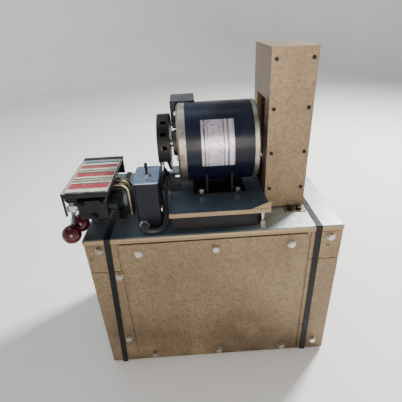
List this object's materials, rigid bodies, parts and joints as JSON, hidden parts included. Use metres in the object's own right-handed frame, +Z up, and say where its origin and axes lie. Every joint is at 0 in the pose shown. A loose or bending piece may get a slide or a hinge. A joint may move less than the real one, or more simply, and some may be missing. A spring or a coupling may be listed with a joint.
{
  "type": "hydraulic power unit",
  "caption": "Bench-size hydraulic power unit: sheet-steel oil tank, electric motor driving an immersed gear pump by guarded V-belt, lever valve bank and motor switch.",
  "frame": {"origin": "centre of the pattern of four base bolt holes, on the underside of the base rails, which is where the unit stands", "axes": "+X along the front of the tank towards the belt guard, +Y from the front cover to the back, +Z up"},
  "size_m": [0.541, 0.3412, 0.675],
  "materials": {
    "galvanised": "spangled galvanised sheet steel",
    "zinc_bolts": "bright zinc plate",
    "motor_black": "gloss black enamel",
    "bell_aluminium": "machined casting",
    "steel_shafts": "ground steel",
    "core_steel": "laminated steel",
    "copper": "varnished copper",
    "black_paint": "black paint, worn",
    "black_iron": "cast iron, oiled",
    "sheave_iron": "turned cast iron",
    "belt_rubber": "fabric-faced rubber",
    "gasket_rubber": "nitrile sheet",
    "cable_rubber": "rubber sheath",
    "knob_red": "polished dark red phenolic",
    "label_face": "printed stripes",
    "foil_plate": "etched foil",
    "pump_aluminium": "die casting",
    "tube_steel": "zinc yellow passivated",
    "strap_black": "black japanned band",
    "lid_metal": "stamped steel",
    "cap_plastic": "moulded",
    "fitting_steel": "plated"
  },
  "bodies": {
    "power_unit_frame": {"baffle": "galvanised", "base_rails": "galvanised", "belt_guard": "galvanised", "belt_well": "galvanised", "cover_gasket": "gasket_rubber", "drain_plug": "zinc_bolts", "drive_belt": "belt_rubber", "end_panels": "galvanised", "fan_shield": "black_paint", "front_cover": "galvanised", "guard_front": "galvanised", "guard_screws": "black_paint", "hood_label": "label_face", "left_end_bell": "bell_aluminium", "left_strap": "strap_black", "lever_pivots": "black_iron", "motor_bearings": "steel_shafts", "motor_bolts": "zinc_bolts", "motor_cable": "cable_rubber", "motor_cradle": "motor_black", "motor_plate": "galvanised", "motor_shell": "motor_black", "motor_windings": "copper", "panel_bolts": "zinc_bolts", "plate_studs": "zinc_bolts", "pump_bolts": "zinc_bolts", "pump_housing": "pump_aluminium", "rating_plate": "foil_plate", "relief_valve": "fitting_steel", "right_end_bell": "bell_aluminium", "right_strap": "strap_black", "stator_core": "core_steel", "suction_line": "tube_steel", "switch_box": "black_paint", "switch_fittings": "fitting_steel", "switch_lid": "lid_metal", "tank_deck": "galvanised", "tank_shell": "galvanised", "terminal_box": "motor_black", "tie_rods": "zinc_bolts", "valve_bracket": "black_paint", "valve_hood": "black_paint", "valve_sections": "black_iron", "valve_tubes": "tube_steel"},
    "rotor": {"motor_shaft": "steel_shafts", "rotor_core": "core_steel", "cooling_fan": "black_paint", "motor_sheave": "sheave_iron"},
    "pump_driver": {"pump_drive_gear": "steel_shafts", "pump_sheave": "sheave_iron"},
    "pump_idler": {"pump_idler_gear": "steel_shafts"},
    "front_lever": {"control_lever_1": "fitting_steel", "lever_knob_1": "knob_red"},
    "rear_lever": {"control_lever_2": "fitting_steel", "lever_knob_2": "knob_red"},
    "front_spool": {"spool_1": "steel_shafts"},
    "rear_spool": {"spool_2": "steel_shafts"},
    "toggle": {"toggle_lever": "black_paint"},
    "filler_cap": {"breather_cap": "cap_plastic"},
    "relief_screw": {"relief_adjuster": "fitting_steel"}
  },
  "joints": [
    {"name": "motor_spin", "type": "hinge", "parent": "power_unit_frame", "child": "rotor", "pos_m": [0, 0, 0.491], "axis": [1, 0, 0], "continuous": true},
    {"name": "pump_spin", "type": "hinge", "parent": "power_unit_frame", "child": "pump_driver", "pos_m": [0.1, 0, 0.17], "axis": [1, 0, 0], "continuous": true},
    {"name": "idler_spin", "type": "hinge", "parent": "power_unit_frame", "child": "pump_idler", "pos_m": [0.09, 0, 0.1968], "axis": [1, 0, 0], "continuous": true},
    {"name": "front_lever_tilt", "type": "hinge", "parent": "power_unit_frame", "child": "front_lever", "pos_m": [-0.264, -0.135, 0.444], "axis": [0, 1, 0], "range_deg": [-12, 12], "stiffness_Nm_per_rad": 3},
    {"name": "front_spool_slide", "type": "slide", "parent": "power_unit_frame", "child": "front_spool", "axis": [1, 0, 0], "range_m": [-0.0045, 0.0045]},
    {"name": "rear_lever_tilt", "type": "hinge", "parent": "power_unit_frame", "child": "rear_lever", "pos_m": [-0.264, -0.097, 0.444], "axis": [0, 1, 0], "range_deg": [-12, 12], "stiffness_Nm_per_rad": 3},
    {"name": "rear_spool_slide", "type": "slide", "parent": "power_unit_frame", "child": "rear_spool", "axis": [1, 0, 0], "range_m": [-0.0045, 0.0045]},
    {"name": "toggle_flip", "type": "hinge", "parent": "power_unit_frame", "child": "toggle", "pos_m": [-0.123, -0.094, 0.463], "axis": [1, 0, 0], "range_deg": [-14, 14]},
    {"name": "filler_cap_lift", "type": "slide", "parent": "power_unit_frame", "child": "filler_cap", "axis": [0, 0, 1], "range_m": [0, 0.045]},
    {"name": "relief_screw_turn", "type": "hinge", "parent": "power_unit_frame", "child": "relief_screw", "pos_m": [-0.222, -0.01, 0.4285], "axis": [0, 1, 0], "range_deg": [-180, 180]}
  ],
  "couplings": [
    {"joint": "pump_spin", "follows": "motor_spin", "ratio": 0.82143},
    {"joint": "idler_spin", "follows": "motor_spin", "ratio": -0.82143},
    {"joint": "front_spool_slide", "follows": "front_lever_tilt", "m_per_rad": -0.02},
    {"joint": "rear_spool_slide", "follows": "rear_lever_tilt", "m_per_rad": -0.02}
  ]
}
